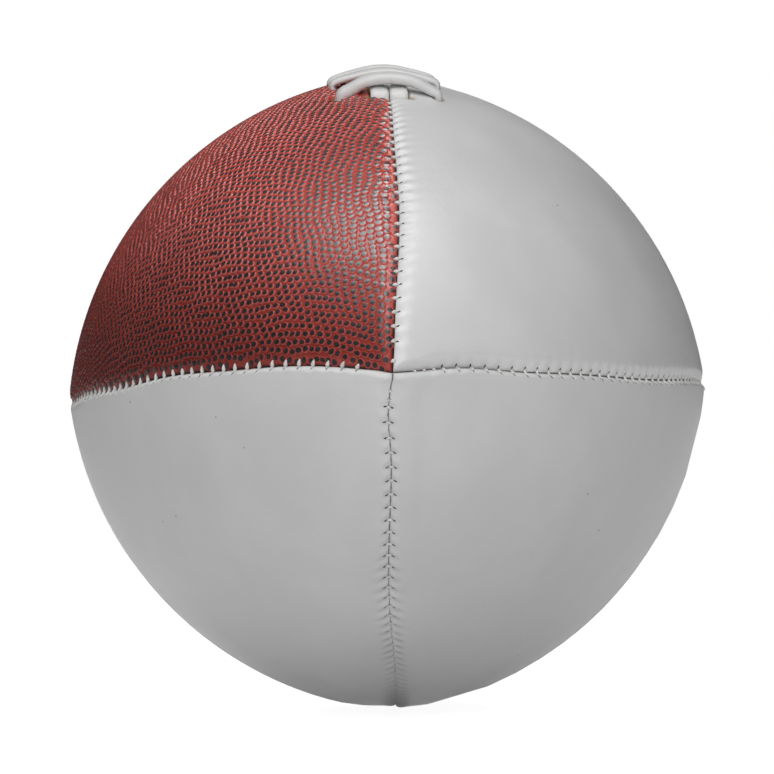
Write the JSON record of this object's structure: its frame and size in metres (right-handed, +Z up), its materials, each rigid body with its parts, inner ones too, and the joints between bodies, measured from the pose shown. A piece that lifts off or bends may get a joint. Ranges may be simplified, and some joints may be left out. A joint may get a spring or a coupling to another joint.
{
  "type": "american football",
  "caption": "Pointed inflatable ball of stitched leather panels over a lined bladder, with a laced slit for grip and a valve for an inflation needle.",
  "frame": {"origin": "middle of the ball", "axes": "+Y along the long axis with the pictured nose at -Y, +Z up through the laces, +X to the right as pictured"},
  "size_m": [0.175, 0.2826, 0.1782],
  "materials": {
    "pebbled_leather": "pebbled, black ink on the pebbles",
    "white_leather": "smooth, satin",
    "lining_cloth": "coarse woven",
    "facing_leather": "raw",
    "bladder_rubber": "smooth",
    "valve_rubber": "matte",
    "valve_plug": "matte",
    "lace_vinyl": "satin",
    "seam_thread": "waxed"
  },
  "bodies": {
    "root": {"brown_cover_panel": "pebbled_leather", "white_cover_panel_upper": "white_leather", "white_cover_panel_lower_left": "white_leather", "white_cover_panel_lower_right": "white_leather", "lining_upper_left": "lining_cloth", "lining_upper_right": "lining_cloth", "lining_lower_left": "lining_cloth", "lining_lower_right": "lining_cloth", "lace_facing_left": "facing_leather", "lace_facing_right": "facing_leather", "seam_thread_top": "seam_thread", "seam_thread_bottom": "seam_thread", "seam_thread_left": "seam_thread", "seam_thread_right": "seam_thread", "cross_lace": "lace_vinyl", "long_lace_left": "lace_vinyl", "long_lace_right": "lace_vinyl", "bladder": "bladder_rubber", "valve_boss": "valve_rubber", "valve_core": "valve_plug"}
  },
  "joints": []
}
